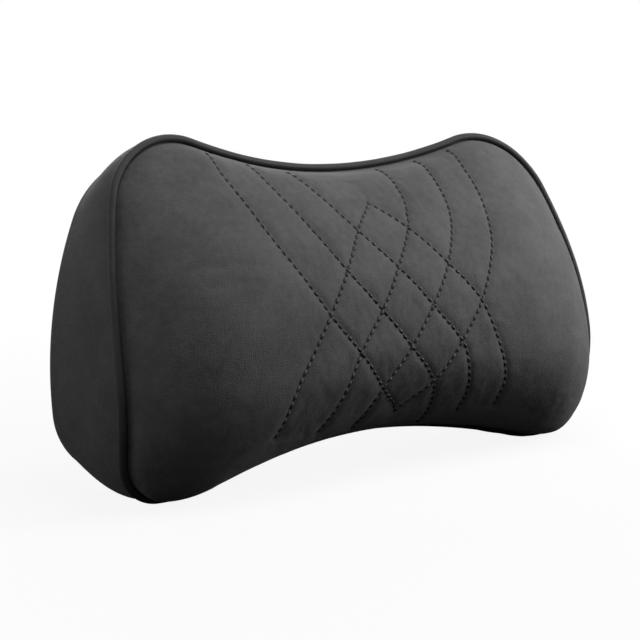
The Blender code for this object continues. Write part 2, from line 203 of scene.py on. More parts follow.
def full_loop(arcs, counts):
    """The closed outline: right half down, left half back up."""
    points, normals = half_loop(arcs, counts)
    points[0, 0] = points[-1, 0] = 0.0
    flip = np.array([-1.0, 1.0])
    return (np.vstack([points, (points * flip)[::-1][1:-1]]),
            np.vstack([normals, (normals * flip)[::-1][1:-1]]))


SEAM_ARCS = arc_chain(WAIST_TOP, LOBE_TOP, LOBE_X, LOBE_RADIUS, SIDE_RADIUS, FOOT_X,
                      FOOT_RADIUS - FOOT_BOTTOM + FOOT_LIFT,
                      FOOT_RADIUS, FOOT_CROWN_RADIUS, FOOT_BOTTOM, WAIST_BOTTOM)
BACK_ARCS = arc_chain(WAIST_TOP - BACK_TOP_DROP, LOBE_TOP - BACK_TOP_DROP, LOBE_X + BACK_LOBE_OUT,
                      BACK_LOBE_RADIUS, BACK_SIDE_RADIUS,
                      FOOT_X + FOOT_RADIUS + BACK_SIDE_OUT - BACK_FOOT_RADIUS,
                      BACK_FOOT_RADIUS - FOOT_BOTTOM + BACK_FOOT_RISE + BACK_FOOT_LIFT, BACK_FOOT_RADIUS,
                      FOOT_CROWN_RADIUS, FOOT_BOTTOM - BACK_FOOT_RISE, WAIST_BOTTOM - BACK_FOOT_RISE)
LOOP_COUNTS = (46, 46, 50, 32, 10, 46)
SEAM, SEAM_OUT = full_loop(SEAM_ARCS, LOOP_COUNTS)
BACK, BACK_OUT = full_loop(BACK_ARCS, LOOP_COUNTS)

FINE, FINE_OUT = half_loop(SEAM_ARCS, (160, 160, 160, 120, 60, 160))
WIDEST = int(FINE[:, 0].argmax())
HALF_WIDTH = FINE[WIDEST, 0]
UPPER_X = np.maximum.accumulate(FINE[:WIDEST + 1, 0])
UPPER_Z = FINE[:WIDEST + 1, 1]
LOWER_X = np.maximum.accumulate(FINE[WIDEST:, 0][::-1])
LOWER_Z = FINE[WIDEST:, 1][::-1]
LOWER_DOWN = np.maximum(-FINE_OUT[WIDEST:, 1], 0.0)[::-1]


# Seam surface and dome
def seam_y(x, z):
    """How far back the seam surface lies at a point of its own plane."""
    u = np.clip(np.abs(x) / HALF_WIDTH, 0, 1)
    reach = np.where(z > WIDEST_Z, LOBE_TOP - WIDEST_Z, FOOT_BOTTOM + WIDEST_Z)
    t = np.clip((z - WIDEST_Z) / reach, -1, 1)
    return WAIST_SET_BACK * (1 - u ** 2) ** 2 - SIDE_FORWARD * u ** 4 * (1 - t ** 2)


def dome_height(x, z):
    """Forward swell of the front over the seam surface."""
    ax = np.abs(x)
    top = np.interp(ax, UPPER_X, UPPER_Z)
    low = np.interp(ax, LOWER_X, LOWER_Z)
    t = np.clip((z - (top + low) / 2) / np.maximum((top - low) / 2, 1e-6), -1, 1)
    u = np.clip(ax / HALF_WIDTH, 0, 1)
    sag = DOME_SAG + DOME_SAG_SIDE * u ** 2
    t = np.clip(t + sag * (1 - t ** 2), -1, 1)
    crest = (DOME - DOME_SIDE_DROP * u ** 2) * (1 - u ** DOME_END_POWER)
    root = DOME_SECTION_ROOT - DOME_ROOT_SIDE_DROP * u ** 2
    return crest * (1 - np.abs(t) ** DOME_SECTION_POWER) ** (1 / root)


def under_bulge(x, z, edge):
    """How far the filled front hangs down over its lower seam."""
    facing = np.interp(np.abs(x), LOWER_X, LOWER_DOWN) * np.clip((WIDEST_Z - z) / UNDER_FADE, 0, 1)
    rise = edge / UNDER_REACH
    return UNDER_BULGE * facing * rise * np.exp(1 - rise)


def lean(points):
    """Turn points of the seam's own frame into the standing pillow's frame."""
    c, s = math.cos(LEAN), math.sin(LEAN)
    out = np.array(points, dtype=float)
    out[..., 1] = points[..., 1] * c + points[..., 2] * s
    out[..., 2] = -points[..., 1] * s + points[..., 2] * c
    return out


def edge_distance(points):
    """Distance of points inside the seam outline to it, both in the seam's plane."""
    mirrored = np.c_[np.abs(points[:, 0]), points[:, 1]]
    starts = FINE[:-1]
    spans = FINE[1:] - FINE[:-1]
    lengths = (spans ** 2).sum(1) + 1e-12
    best = np.full(len(mirrored), 1e9)
    for first in range(0, len(mirrored), 4000):
        block = mirrored[first:first + 4000, None, :]
        t = np.clip(((block - starts) * spans).sum(-1) / lengths, 0, 1)
        gap = block - starts - t[..., None] * spans
        best[first:first + 4000] = np.sqrt((gap ** 2).sum(-1).min(1))
    return best


# The leather starts under the piping, and its dome rises from beside it
PANEL_INSET = 1.3
DOME_INSET = PIPING_RADIUS + GAP


def front_points(xz):
    """Standing-frame points of the smooth domed front."""
    x, z = xz[:, 0], xz[:, 1]
    edge = np.maximum(edge_distance(xz) - DOME_INSET, 0.0)
    swell = np.maximum(dome_height(x, z), 0.0) * (1 - np.exp(-edge / EDGE_ROLL))
    return lean(np.c_[x, seam_y(x, z) - swell, z - under_bulge(x, z, edge)])


def smooth_line(points, step):
    """An even polyline through control points by a Catmull-Rom curve."""
    p = np.array(points, dtype=float)
    p = np.vstack([2 * p[0] - p[1], p, 2 * p[-1] - p[-2]])
    dense = []
    for k in range(1, len(p) - 2):
        for t in np.linspace(0, 1, 40, endpoint=False):
            a = 2 * p[k]
            b = p[k + 1] - p[k - 1]
            c = 2 * p[k - 1] - 5 * p[k] + 4 * p[k + 1] - p[k + 2]
            d = -p[k - 1] + 3 * p[k] - 3 * p[k + 1] + p[k + 2]
            dense.append(0.5 * (a + b * t + c * t ** 2 + d * t ** 3))
    dense.append(p[-2])
    return even_line(np.array(dense), step=step)


def even_line(points, step=None, count=None):
    """The same polyline with even spacing."""
    run = np.concatenate([[0], np.cumsum(np.linalg.norm(np.diff(points, axis=0), axis=1))])
    if count is None:
        count = max(4, int(round(run[-1] / step)) + 1)
    at = np.linspace(0, run[-1], count)
    return np.stack([np.interp(at, run, points[:, k]) for k in range(points.shape[1])], 1)


def stitch_lines():
    """Four lines falling to the right and four falling to the left, in the seam's plane."""
    rows = LATTICE_ROWS
    lines = []
    for tails, drops, side in ((FALLING_TAILS, FALLING_DROPS, 1.0), (RISING_TAILS, RISING_DROPS, -1.0)):
        for number in range(4):
            run = [(LATTICE_STEP * (number - 3 + k), rows[3 - number + k]) for k in range(4)]
            line = smooth_line(list(tails[number]) + run + list(drops[number]), 0.8)
            lines.append(line * np.array([side, 1.0]))
    return lines


# Mesh helpers
def place(points):
    """Standing-frame millimetres to the part's metres."""
    out = np.array(points, dtype=float)
    out[..., 1] -= MIDDLE_Y
    out[..., 2] -= FLOOR
    return out * MM


def mesh_piece(name, points, faces, material):
    """A smooth-shaded mesh object in the part's frame, from points already in metres."""
    mesh = bpy.data.meshes.new(name)
    mesh.from_pydata([tuple(p) for p in points], [], [tuple(int(i) for i in f) for f in faces])
    mesh.update()
    obj = bpy.data.objects.new(name, mesh)
    bpy.context.scene.collection.objects.link(obj)
    mesh.materials.append(material)
    mesh.polygons.foreach_set("use_smooth", [True] * len(mesh.polygons))
    return obj


def face_outward(obj):
    """Make the faces of a closed mesh point outward."""
    bm = bmesh.new()
    bm.from_mesh(obj.data)
    bmesh.ops.recalc_face_normals(bm, faces=bm.faces)
    if bm.calc_volume(signed=True) < 0:
        bmesh.ops.reverse_faces(bm, faces=bm.faces)
    bm.to_mesh(obj.data)
    bm.free()
    obj.data.polygons.foreach_set("use_smooth", [True] * len(obj.data.polygons))


def soft_noise(points, size, seed):
    """A smooth noise from a few sine waves, about minus one to one."""
    rng = np.random.default_rng(seed)
    total = np.zeros(len(points))
    for _ in range(9):
        direction = rng.normal(size=3)
        direction /= np.linalg.norm(direction)
        wave = 2 * math.pi / (size * rng.uniform(0.75, 1.5))
        total += np.sin(points @ direction * wave + rng.uniform(0, 2 * math.pi))
    return total / 3.2


# Node groups
def new_group(name, inputs, outputs):
    """A shader node group with named float inputs and named outputs."""
    group = bpy.data.node_groups.new(name, "ShaderNodeTree")
    for label, value in inputs:
        socket = group.interface.new_socket(name=label, in_out="INPUT", socket_type="NodeSocketFloat")
        socket.default_value = value
    for label in outputs:
        group.interface.new_socket(name=label, in_out="OUTPUT", socket_type="NodeSocketFloat")
    return group, group.nodes.new("NodeGroupInput"), group.nodes.new("NodeGroupOutput")


def math_node(tree, operation, first, second=None, clamp=False):
    """A Math node, each input a number or a socket."""
    node = tree.nodes.new("ShaderNodeMath")
    node.operation = operation
    node.use_clamp = clamp
    for socket, value in zip(node.inputs, (first, second)):
        if value is None:
            continue
        if isinstance(value, (int, float)):
            socket.default_value = value
        else:
            tree.links.new(value, socket)
    return node.outputs[0]


def range_node(tree, value, low, high, out_low=0.0, out_high=1.0):
    """A Map Range node that clamps."""
    node = tree.nodes.new("ShaderNodeMapRange")
    tree.links.new(value, node.inputs["Value"])
    node.inputs["From Min"].default_value = low
    node.inputs["From Max"].default_value = high
    node.inputs["To Min"].default_value = out_low
    node.inputs["To Max"].default_value = out_high
    return node.outputs["Result"]


def leather_grain_group():
    """Pebbled grain height, a soft mottle and a nap mask for matte leather."""
    group, given, out = new_group("leather_grain", [("Pebbles Per Metre", 900.0),
                                                    ("Mottles Per Metre", 160.0)],
                                  ["Height", "Mottle", "Nap"])
    coords = group.nodes.new("ShaderNodeTexCoord")
    pebble = group.nodes.new("ShaderNodeTexVoronoi")
    pebble.feature = "DISTANCE_TO_EDGE"
    pebble.inputs["Randomness"].default_value = 1.0
    group.links.new(coords.outputs["Object"], pebble.inputs["Vector"])
    group.links.new(given.outputs["Pebbles Per Metre"], pebble.inputs["Scale"])
    pore = group.nodes.new("ShaderNodeTexNoise")
    pore.inputs["Detail"].default_value = 4.0
    pore.inputs["Roughness"].default_value = 0.6
    group.links.new(coords.outputs["Object"], pore.inputs["Vector"])
    group.links.new(math_node(group, "MULTIPLY", given.outputs["Pebbles Per Metre"], 1.7),
                    pore.inputs["Scale"])
    crest = range_node(group, pebble.outputs["Distance"], 0.0, 0.22)
    height = math_node(group, "ADD", math_node(group, "MULTIPLY", crest, 0.55),
                       math_node(group, "MULTIPLY", pore.outputs["Fac"], 0.6))
    group.links.new(height, out.inputs["Height"])
    mottle = group.nodes.new("ShaderNodeTexNoise")
    mottle.inputs["Detail"].default_value = 5.0
    mottle.inputs["Roughness"].default_value = 0.62
    group.links.new(coords.outputs["Object"], mottle.inputs["Vector"])
    group.links.new(given.outputs["Mottles Per Metre"], mottle.inputs["Scale"])
    group.links.new(range_node(group, mottle.outputs["Fac"], 0.3, 0.7), out.inputs["Mottle"])
    nap = group.nodes.new("ShaderNodeTexNoise")
    nap.inputs["Detail"].default_value = 2.0
    group.links.new(coords.outputs["Object"], nap.inputs["Vector"])
    group.links.new(math_node(group, "MULTIPLY", given.outputs["Mottles Per Metre"], 0.18),
                    nap.inputs["Scale"])
    group.links.new(range_node(group, nap.outputs["Fac"], 0.35, 0.65), out.inputs["Nap"])
    return group


def new_shader(name):
    """A new material, its node tree and its shader."""
    material = bpy.data.materials.new(name)
    material.use_nodes = True
    return material, material.node_tree, material.node_tree.nodes["Principled BSDF"]


def tint(tree, shader, factor, colour, darkest, lightest):
    """Base colour between a dark and a light shade of one colour."""
    mix = tree.nodes.new("ShaderNodeMix")
    mix.data_type = "RGBA"
    mix.inputs["A"].default_value = (*[c * darkest for c in colour], 1.0)
    mix.inputs["B"].default_value = (*[c * lightest for c in colour], 1.0)
    tree.links.new(factor, mix.inputs["Factor"])
    tree.links.new(mix.outputs["Result"], shader.inputs["Base Color"])


def relief(tree, shader, height, strength, distance):
    """Fine relief on the shader from a height."""
    bumped = tree.nodes.new("ShaderNodeBump")
    bumped.inputs["Strength"].default_value = strength
    bumped.inputs["Distance"].default_value = distance
    tree.links.new(height, bumped.inputs["Height"])
    tree.links.new(bumped.outputs["Normal"], shader.inputs["Normal"])


def leather(name, colour, roughness, pebbles=900.0, mottles=300.0, bump=0.35, contrast=0.26, gloss=0.06,
            sheen=0.08):
    """Matte microfibre leather with fine grain and a soft mottle."""
    material, tree, shader = new_shader(name)
    grain = tree.nodes.new("ShaderNodeGroup")
    grain.node_tree = LEATHER_GRAIN
    grain.inputs["Pebbles Per Metre"].default_value = pebbles
    grain.inputs["Mottles Per Metre"].default_value = mottles
    shade = math_node(tree, "ADD",
                      math_node(tree, "MULTIPLY", grain.outputs["Mottle"], 0.6),
                      math_node(tree, "MULTIPLY", grain.outputs["Nap"], 0.4))
    tint(tree, shader, shade, colour, 1 - contrast, 1 + contrast)
    rough = range_node(tree, grain.outputs["Mottle"], 0.0, 1.0, roughness - 0.05, roughness + 0.06)
    tree.links.new(rough, shader.inputs["Roughness"])
    relief(tree, shader, grain.outputs["Height"], bump, 0.0004)
    shader.inputs["Specular IOR Level"].default_value = gloss
    shader.inputs["Sheen Weight"].default_value = sheen
    shader.inputs["Sheen Roughness"].default_value = 0.45
    return material


def thread_material(name, colour):
    """Twisted sewing thread; the near-black colour it is given is the thread's own dark plus painted shade
    of the stitch holes it covers.
    """
    material, tree, shader = new_shader(name)
    coords = tree.nodes.new("ShaderNodeTexCoord")
    twist = tree.nodes.new("ShaderNodeTexWave")
    twist.wave_type = "BANDS"
    twist.bands_direction = "DIAGONAL"
    twist.inputs["Scale"].default_value = 700.0
    twist.inputs["Distortion"].default_value = 1.5
    tree.links.new(coords.outputs["Object"], twist.inputs["Vector"])
    tint(tree, shader, twist.outputs["Fac"], colour, 0.6, 1.3)
    relief(tree, shader, twist.outputs["Fac"], 0.4, 0.0002)
    shader.inputs["Roughness"].default_value = 0.35
    shader.inputs["Specular IOR Level"].default_value = 0.3
    return material


def webbing_material(name, colour):
    """Woven elastic: picks across the band over the modelled ribs."""
    material, tree, shader = new_shader(name)
    coords = tree.nodes.new("ShaderNodeTexCoord")
    picks = tree.nodes.new("ShaderNodeTexWave")
    picks.wave_type = "BANDS"
    picks.bands_direction = "X"
    picks.inputs["Scale"].default_value = 330.0
    picks.inputs["Distortion"].default_value = 0.6
    picks.inputs["Detail"].default_value = 1.0
    tree.links.new(coords.outputs["Object"], picks.inputs["Vector"])
    fuzz = tree.nodes.new("ShaderNodeTexNoise")
    fuzz.inputs["Scale"].default_value = 900.0
    fuzz.inputs["Detail"].default_value = 3.0
    tree.links.new(coords.outputs["Object"], fuzz.inputs["Vector"])
    height = math_node(tree, "ADD", math_node(tree, "MULTIPLY", picks.outputs["Fac"], 0.7),
                       math_node(tree, "MULTIPLY", fuzz.outputs["Fac"], 0.4))
    tint(tree, shader, height, colour, 0.65, 1.25)
    relief(tree, shader, height, 0.6, 0.0003)
    shader.inputs["Roughness"].default_value = 0.85
    shader.inputs["Specular IOR Level"].default_value = 0.2
    return material


def foam_material(name, colour):
    """Fine-celled moulded foam."""
    material, tree, shader = new_shader(name)
    coords = tree.nodes.new("ShaderNodeTexCoord")
    cells = tree.nodes.new("ShaderNodeTexVoronoi")
    cells.inputs["Scale"].default_value = 700.0
    tree.links.new(coords.outputs["Object"], cells.inputs["Vector"])
    tint(tree, shader, cells.outputs["Distance"], colour, 0.75, 1.0)
    relief(tree, shader, cells.outputs["Distance"], 0.5, 0.0005)
    shader.inputs["Roughness"].default_value = 0.95
    return material


LEATHER_GRAIN = leather_grain_group()
FRONT_LEATHER = leather("front_leather", (0.078, 0.078, 0.079), 0.62)
PIPING_LEATHER = leather("piping_leather", (0.031, 0.031, 0.0315), 0.5, pebbles=1100.0, bump=0.2,
                         gloss=0.12, sheen=0.0)
BAND_LEATHER = leather("band_leather", (0.075, 0.075, 0.076), 0.62)
BACK_LEATHER = leather("back_leather", (0.072, 0.072, 0.073), 0.66)
# Near-black thread: its own dark colour plus painted shade of the stitch holes under it
THREAD_AND_HOLE_SHADE = thread_material("thread_and_hole_shade", (0.007, 0.007, 0.0075))
WEBBING = webbing_material("strap_webbing", (0.022, 0.022, 0.023))
FOAM = foam_material("core_foam", (0.62, 0.56, 0.42))


# Stitches follow their lines by geometry nodes
def stitch_tree():
    """Stitches at even steps along sewn lines, each a bent thread that dips at both ends."""
    tree = bpy.data.node_groups.new("stitches_along_lines", "GeometryNodeTree")
    tree.interface.new_socket(name="Lines", in_out="INPUT", socket_type="NodeSocketGeometry")
    for label, value in (("Stitch Pitch", 0.0039), ("Stitch Length", 0.0027),
                         ("Thread Radius", 0.0004), ("Rise", 0.0002)):
        socket = tree.interface.new_socket(name=label, in_out="INPUT", socket_type="NodeSocketFloat")
        socket.default_value = value
    tree.interface.new_socket(name="Thread", in_out="INPUT", socket_type="NodeSocketMaterial")
    tree.interface.new_socket(name="Stitches", in_out="OUTPUT", socket_type="NodeSocketGeometry")
    nodes, links = tree.nodes, tree.links
    given = nodes.new("NodeGroupInput")
    out = nodes.new("NodeGroupOutput")
    to_curve = nodes.new("GeometryNodeMeshToCurve")
    links.new(given.outputs["Lines"], to_curve.inputs["Mesh"])
    resample = nodes.new("GeometryNodeResampleCurve")
    resample.mode = "LENGTH"
    links.new(to_curve.outputs["Curve"], resample.inputs["Curve"])
    links.new(given.outputs["Stitch Pitch"], resample.inputs["Length"])
    up = nodes.new("GeometryNodeInputNamedAttribute")
    up.data_type = "FLOAT_VECTOR"
    up.inputs["Name"].default_value = "up"
    tangent = nodes.new("GeometryNodeInputTangent")
    align_up = nodes.new("FunctionNodeAlignRotationToVector")
    align_up.axis = "Z"
    links.new(up.outputs["Attribute"], align_up.inputs["Vector"])
    align_along = nodes.new("FunctionNodeAlignRotationToVector")
    align_along.axis = "X"
    align_along.pivot_axis = "Z"
    links.new(align_up.outputs["Rotation"], align_along.inputs["Rotation"])
    links.new(tangent.outputs["Tangent"], align_along.inputs["Vector"])

    def value_math(operation, a, b):
        node = nodes.new("ShaderNodeMath")
        node.operation = operation
        for socket, value in zip(node.inputs, (a, b)):
            if isinstance(value, float):
                socket.default_value = value
            else:
                links.new(value, socket)
        return node.outputs[0]

    def vector(x, z):
        node = nodes.new("ShaderNodeCombineXYZ")
        links.new(x, node.inputs["X"])
        links.new(z, node.inputs["Z"])
        return node.outputs[0]

    half = value_math("MULTIPLY", given.outputs["Stitch Length"], 0.5)
    back = value_math("MULTIPLY", half, -1.0)
    dip = value_math("MULTIPLY", given.outputs["Thread Radius"], -1.2)
    crown = value_math("MULTIPLY", given.outputs["Thread Radius"], 1.3)
    bend = nodes.new("GeometryNodeCurveQuadraticBezier")
    bend.inputs["Resolution"].default_value = 6
    links.new(vector(back, dip), bend.inputs["Start"])
    links.new(vector(value_math("MULTIPLY", half, 0.0), crown), bend.inputs["Middle"])
    links.new(vector(half, dip), bend.inputs["End"])
    ring = nodes.new("GeometryNodeCurvePrimitiveCircle")
    ring.inputs["Resolution"].default_value = 7
    links.new(given.outputs["Thread Radius"], ring.inputs["Radius"])
    stitch = nodes.new("GeometryNodeCurveToMesh")
    stitch.inputs["Fill Caps"].default_value = True
    links.new(bend.outputs["Curve"], stitch.inputs["Curve"])
    links.new(ring.outputs["Curve"], stitch.inputs["Profile Curve"])
    lift = nodes.new("ShaderNodeVectorMath")
    lift.operation = "SCALE"
    links.new(up.outputs["Attribute"], lift.inputs[0])
    links.new(given.outputs["Rise"], lift.inputs["Scale"])
    move = nodes.new("GeometryNodeSetPosition")
    links.new(resample.outputs["Curve"], move.inputs["Geometry"])
    links.new(lift.outputs["Vector"], move.inputs["Offset"])
    instance = nodes.new("GeometryNodeInstanceOnPoints")
    links.new(move.outputs["Geometry"], instance.inputs["Points"])
    links.new(stitch.outputs["Mesh"], instance.inputs["Instance"])
    links.new(align_along.outputs["Rotation"], instance.inputs["Rotation"])
    realize = nodes.new("GeometryNodeRealizeInstances")
    links.new(instance.outputs["Instances"], realize.inputs["Geometry"])
    smooth = nodes.new("GeometryNodeSetShadeSmooth")
    links.new(realize.outputs["Geometry"], smooth.inputs["Geometry"])
    paint = nodes.new("GeometryNodeSetMaterial")
    links.new(smooth.outputs["Geometry"], paint.inputs["Geometry"])
    links.new(given.outputs["Thread"], paint.inputs["Material"])
    links.new(paint.outputs["Geometry"], out.inputs["Stitches"])
    return tree


STITCH_TREE = stitch_tree()


def sew(name, lines, ups, pitch, length, radius, rise, material):
    """A plain mesh of stitches along lines of points with their upward directions."""
    mesh = bpy.data.meshes.new(name + "_lines")
    points = np.vstack(lines)
    edges = []
    start = 0
    for line in lines:
        edges += [(start + k, start + k + 1) for k in range(len(line) - 1)]
        start += len(line)
    mesh.from_pydata([tuple(p) for p in points], edges, [])
    attribute = mesh.attributes.new("up", "FLOAT_VECTOR", "POINT")
    attribute.data.foreach_set("vector", np.vstack(ups).astype(np.float32).ravel())
    guide = bpy.data.objects.new(name + "_guide", mesh)
    bpy.context.scene.collection.objects.link(guide)
    modifier = guide.modifiers.new("stitches", "NODES")
    modifier.node_group = STITCH_TREE
    values = {"Stitch Pitch": pitch, "Stitch Length": length, "Thread Radius": radius,
              "Rise": rise, "Thread": material}
    for item in STITCH_TREE.interface.items_tree:
        if item.in_out == "INPUT" and item.name in values:
            modifier[item.identifier] = values[item.name]
    bpy.context.view_layer.update()
    evaluated = guide.evaluated_get(bpy.context.evaluated_depsgraph_get())
    made = bpy.data.meshes.new_from_object(evaluated)
    made.name = name
    obj = bpy.data.objects.new(name, made)
    bpy.context.scene.collection.objects.link(obj)
    bpy.data.objects.remove(guide)
    return obj


# Front panel
PATCH_INSET = 9.0


def ring_distances(rings):
    """How far in from the seam each ring of the panel's edge lies, closest spaced where it turns."""
    share = (1 - math.exp(-(PATCH_INSET - DOME_INSET) / EDGE_ROLL)) * np.linspace(1, 0, rings)[1:]
    return list(DOME_INSET - EDGE_ROLL * np.log(1 - share)) + [PANEL_INSET]


def panel_grid(columns, rows, rings):
    """Plane points and quads: a patch over the middle, then rings out to the seam."""
    half = FINE
    out = FINE_OUT
    slope = np.arctan2(out[:, 1], out[:, 0])
    upper = int(np.argmin(np.abs(slope[:WIDEST] - math.radians(48))))
    lower = WIDEST + int(np.argmin(np.abs(slope[WIDEST:] + math.radians(45))))
    u = np.linspace(-1, 1, columns + 1)
    u = 0.78 * u + 0.22 * u ** 3
    u = u / np.abs(u).max()
    u = np.sign(u) * (0.8 * np.abs(u) + 0.2 * np.sin(np.abs(u) * math.pi / 2))
    v = np.linspace(0, 1, rows + 1)
    v = 0.45 * v + 0.55 * (1 - np.cos(math.pi * v)) / 2

    def at_fraction(first, last, share):
        path = half[first:last + 1] if last > first else half[last:first + 1][::-1]
        steps = np.concatenate([[0], np.cumsum(np.linalg.norm(np.diff(path, axis=0), axis=1))])
        index = np.interp(share * steps[-1], steps, np.arange(len(path)))
        return first + index if last > first else first - index

    def sample(index, distance):
        whole = np.arange(len(half))
        points = np.stack([np.interp(index, whole, half[:, k]) for k in (0, 1)], 1)
        normals = np.stack([np.interp(index, whole, out[:, k]) for k in (0, 1)], 1)
        return points - normals * distance

    top_index = at_fraction(0, upper, np.abs(u))
    bottom_index = at_fraction(len(half) - 1, lower, np.abs(u))
    side_index = at_fraction(lower, upper, v)
    side = np.sign(u)
    side[side == 0] = 1.0
    loop_index = np.concatenate([top_index[:-1], side_index[::-1][:-1], bottom_index[::-1][:-1],
                                 side_index[:-1]])
    loop_side = np.concatenate([side[:-1], np.ones(rows), side[::-1][:-1], -np.ones(rows)])

    def loop_at(distance):
        points = sample(loop_index, distance)
        points[:, 0] *= loop_side
        return points

    first = loop_at(PATCH_INSET)
    top = np.vstack([first[:columns], first[columns]])
    right = first[columns:columns + rows + 1]
    bottom = first[columns + rows:2 * columns + rows + 1][::-1]
    left = np.vstack([first[2 * columns + rows:], first[:1]])[::-1]
    a = ((u + 1) / 2)[None, :, None]
    b = (1 - v[::-1])[:, None, None]
    patch = ((1 - b) * top[None] + b * bottom[None] + (1 - a) * left[:, None] + a * right[:, None]
             - (1 - a) * (1 - b) * top[0] - a * (1 - b) * top[-1]
             - (1 - a) * b * bottom[0] - a * b * bottom[-1])
    points = [patch.reshape(-1, 2)]
    width = columns + 1
    faces = [(r * width + c, r * width + c + 1, (r + 1) * width + c + 1, (r + 1) * width + c)
             for r in range(rows) for c in range(columns)]
    border = ([c for c in range(columns)] + [r * width + columns for r in range(rows)]
              + [rows * width + c for c in range(columns, 0, -1)]
              + [r * width for r in range(rows, 0, -1)])
    count = len(border)
    previous = border
    start = (rows + 1) * width
    for distance in ring_distances(rings):
        points.append(loop_at(distance))
        ring = list(range(start, start + count))
        start += count
        faces += [(previous[k], ring[k], ring[(k + 1) % count], previous[(k + 1) % count])
                  for k in range(count)]
        previous = ring
    return np.vstack(points), faces, previous


def line_offsets(points, lines, reach):
    """Each point's distance to the nearest sewn line, and how far along it that is."""
    near = np.full(len(points), 1e9)
    along = np.zeros(len(points))
    pitch = np.ones(len(points))
    for line in lines:
        low = line.min(0) - reach
        high = line.max(0) + reach
        chosen = np.where(((points > low) & (points < high)).all(1))[0]
        starts = line[:-1]
        spans = line[1:] - line[:-1]
        lengths = (spans ** 2).sum(1)
        run = np.concatenate([[0], np.cumsum(np.sqrt(lengths))])
        step = run[-1] / max(1, int(run[-1] / STITCH_PITCH))
        for first in range(0, len(chosen), 3000):
            index = chosen[first:first + 3000]
            block = points[index][:, None, :]
            t = np.clip(((block - starts) * spans).sum(-1) / lengths, 0, 1)
            gap = np.sqrt(((block - starts - t[..., None] * spans) ** 2).sum(-1))
            k = gap.argmin(1)
            rows = np.arange(len(index))
            closer = gap[rows, k] < near[index]
            near[index[closer]] = gap[rows, k][closer]
            place_on = run[k] + t[rows, k] * np.sqrt(lengths[k])
            along[index[closer]] = place_on[closer]
            pitch[index[closer]] = step
    return near, along, pitch


def vertex_normals(points, faces):
    """Outward normals of the domed front, and its faces turned the same way."""
    mesh = bpy.data.meshes.new("probe")
    mesh.from_pydata([tuple(p) for p in points], [], faces)
    mesh.update()
    normals = np.zeros(len(points) * 3, np.float32)
    mesh.vertices.foreach_get("normal", normals)
    bpy.data.meshes.remove(mesh)
    normals = normals.reshape(-1, 3).astype(float)
    if normals[:, 1].mean() > 0:
        return -normals, [f[::-1] for f in faces]
    return normals, faces


def halfway(values):
    """A table of values with a row added between each two."""
    out = np.empty((2 * len(values) - 1, values.shape[1]))
    out[::2] = values
    out[1::2] = (values[:-1] + values[1:]) / 2
    return out


def spread(coarse, columns, rows, rings):
    """Values on the half-size panel grid carried over to the full one."""
    across, down = columns // 2, rows // 2
    patch = coarse[:(down + 1) * (across + 1)].reshape(down + 1, across + 1)
    border = np.concatenate([patch[0, :-1], patch[:-1, -1], patch[-1, :0:-1], patch[:0:-1, 0]])
    loops = np.vstack([border, coarse[(down + 1) * (across + 1):].reshape(-1, len(border))])
    loops = halfway(np.c_[loops, loops[:, :1]].T).T[:, :-1]
    known = -np.array([PATCH_INSET] + ring_distances(rings // 2))
    wanted = np.interp(-np.array(ring_distances(rings)), known, np.arange(len(known)))
    lower = np.minimum(wanted.astype(int), len(known) - 2)
    share = (wanted - lower)[:, None]
    edge = loops[lower] * (1 - share) + loops[lower + 1] * share
    return np.concatenate([halfway(halfway(patch).T).T.ravel(), edge.ravel()])


def stuffed_leather(columns, rows, rings, lines):
    """Cloth simulation: the filling presses the leather out between its sewn lines."""
    plane, faces, rim = panel_grid(columns // 2, rows // 2, rings // 2)
    surface = front_points(plane)
    normals, faces = vertex_normals(surface, faces)
    near, along, pitch = line_offsets(surface, lines, 8.0)
    held = np.exp(-(near / 1.6) ** 2)
    held[np.array(rim)] = 1.0
    held = np.maximum(held, FOAM_HOLD)
    leather_sheet = mesh_piece("stuffing_trial", surface * MM, faces, FRONT_LEATHER)
    group = leather_sheet.vertex_groups.new(name="sewn")
    for index, weight in enumerate(held):
        group.add([index], float(weight), "REPLACE")
    cloth = leather_sheet.modifiers.new("filling", "CLOTH")
    cloth.settings.quality = 5
    cloth.settings.mass = 0.02
    cloth.settings.tension_stiffness = 40.0
    cloth.settings.compression_stiffness = 40.0
    cloth.settings.shear_stiffness = 10.0
    cloth.settings.bending_stiffness = LEATHER_BEND
    cloth.settings.shrink_min = -LEATHER_SLACK
    cloth.settings.use_pressure = True
    cloth.settings.uniform_pressure_force = FILLING_PRESSURE
    cloth.settings.vertex_group_mass = "sewn"
    cloth.settings.pin_stiffness = 1.0
    cloth.settings.effector_weights.gravity = 0.0
    cloth.collision_settings.use_collision = False
    cloth.point_cache.frame_start = 1
    cloth.point_cache.frame_end = SETTLE_FRAMES
    for number in range(1, SETTLE_FRAMES + 1):
        bpy.context.scene.frame_set(number)
    settled = leather_sheet.evaluated_get(bpy.context.evaluated_depsgraph_get())
    moved = np.zeros(len(surface) * 3, np.float32)
    settled.data.vertices.foreach_get("co", moved)
    moved = moved.reshape(-1, 3).astype(float) / MM
    bpy.context.scene.frame_set(1)
    bpy.data.objects.remove(leather_sheet)
    lift = ((moved - surface) * normals).sum(1)
    return spread(lift, columns, rows, rings)


